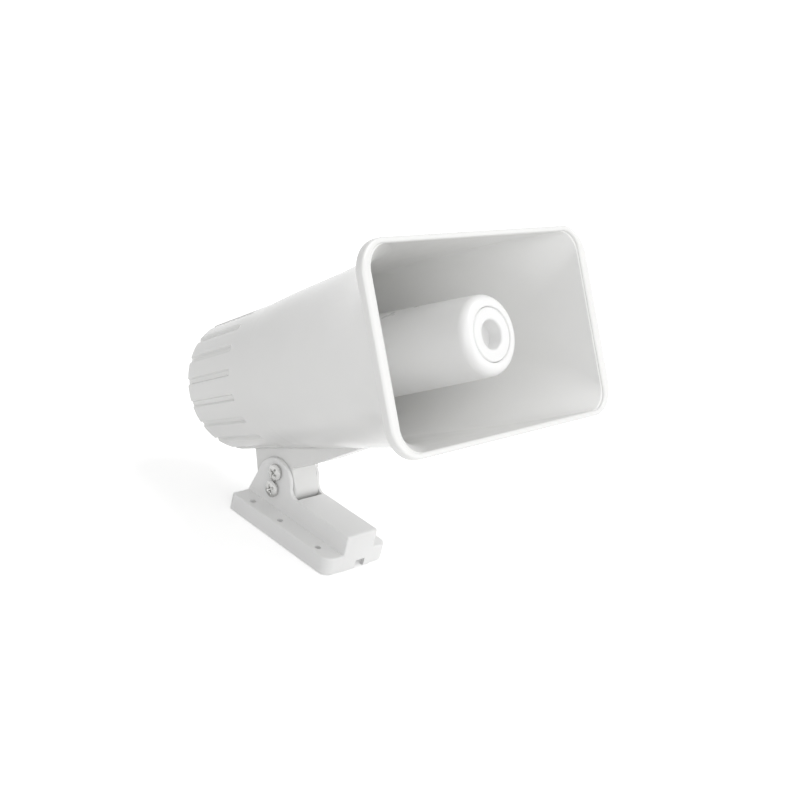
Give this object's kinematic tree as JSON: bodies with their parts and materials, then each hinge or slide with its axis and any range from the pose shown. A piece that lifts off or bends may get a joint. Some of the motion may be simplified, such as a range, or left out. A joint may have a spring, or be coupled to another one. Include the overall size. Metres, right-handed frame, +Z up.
{
  "type": "rectangular reflex horn loudspeaker with tilting bracket",
  "caption": "White moulded paging horn with a rectangular mouth, coaxial reflector bullet, grooved round driver housing and a screw-down tilting bracket.",
  "frame": {"origin": "middle of the object's box, on the surface that the bracket stands on", "axes": "+X along the mouth's width, -Y to the front where the mouth opens, +Z up"},
  "size_m": [0.2054, 0.2583, 0.2465],
  "materials": {
    "bell_plastic": "satin white moulded plastic",
    "bullet_plastic": "satin white moulded plastic",
    "bracket_plastic": "satin white moulded plastic",
    "inner_plastic": "plain moulded plastic",
    "black_plastic": "plain moulded plastic",
    "zinc_steel": "bright zinc plated",
    "plate_steel": "zinc plated mild steel",
    "ferrite": "ground ferrite",
    "diaphragm_film": "formed phenolic film",
    "coil_wire": "enamelled wire",
    "tinned_brass": "tinned",
    "board": "laminate board",
    "gasket_rubber": "matt black rubber"
  },
  "bodies": {
    "bracket": {"mounting_bracket": "bracket_plastic", "pivot_screw": "zinc_steel", "lock_screw": "zinc_steel", "pivot_washer": "zinc_steel", "lock_washer": "zinc_steel", "pivot_nut": "zinc_steel", "lock_nut": "zinc_steel"},
    "horn_head": {"horn_bell": "bell_plastic", "reflector_bullet": "bullet_plastic", "nose_cap": "bullet_plastic", "throat_tube": "inner_plastic", "phase_plug": "inner_plastic", "throat_gasket": "gasket_rubber", "diaphragm": "diaphragm_film", "diaphragm_clamp_ring": "black_plastic", "voice_coil": "coil_wire", "top_plate": "plate_steel", "magnet": "ferrite", "back_plate_with_pole": "plate_steel", "driver_screw_1": "zinc_steel", "driver_screw_2": "zinc_steel", "driver_screw_3": "zinc_steel", "driver_screw_4": "zinc_steel", "terminal_board": "board", "terminal_tab_1": "tinned_brass", "terminal_tab_2": "tinned_brass", "rear_cover": "bell_plastic", "cover_gasket": "gasket_rubber", "cover_screw_1": "zinc_steel", "cover_screw_2": "zinc_steel", "cover_screw_3": "zinc_steel", "cover_screw_4": "zinc_steel", "cable_grommet": "gasket_rubber"}
  },
  "joints": [
    {"name": "tilt", "type": "hinge", "parent": "bracket", "child": "horn_head", "pos_m": [0, 0.0392, 0.0372], "axis": [1, 0, 0], "range_deg": [-30, 35]}
  ]
}
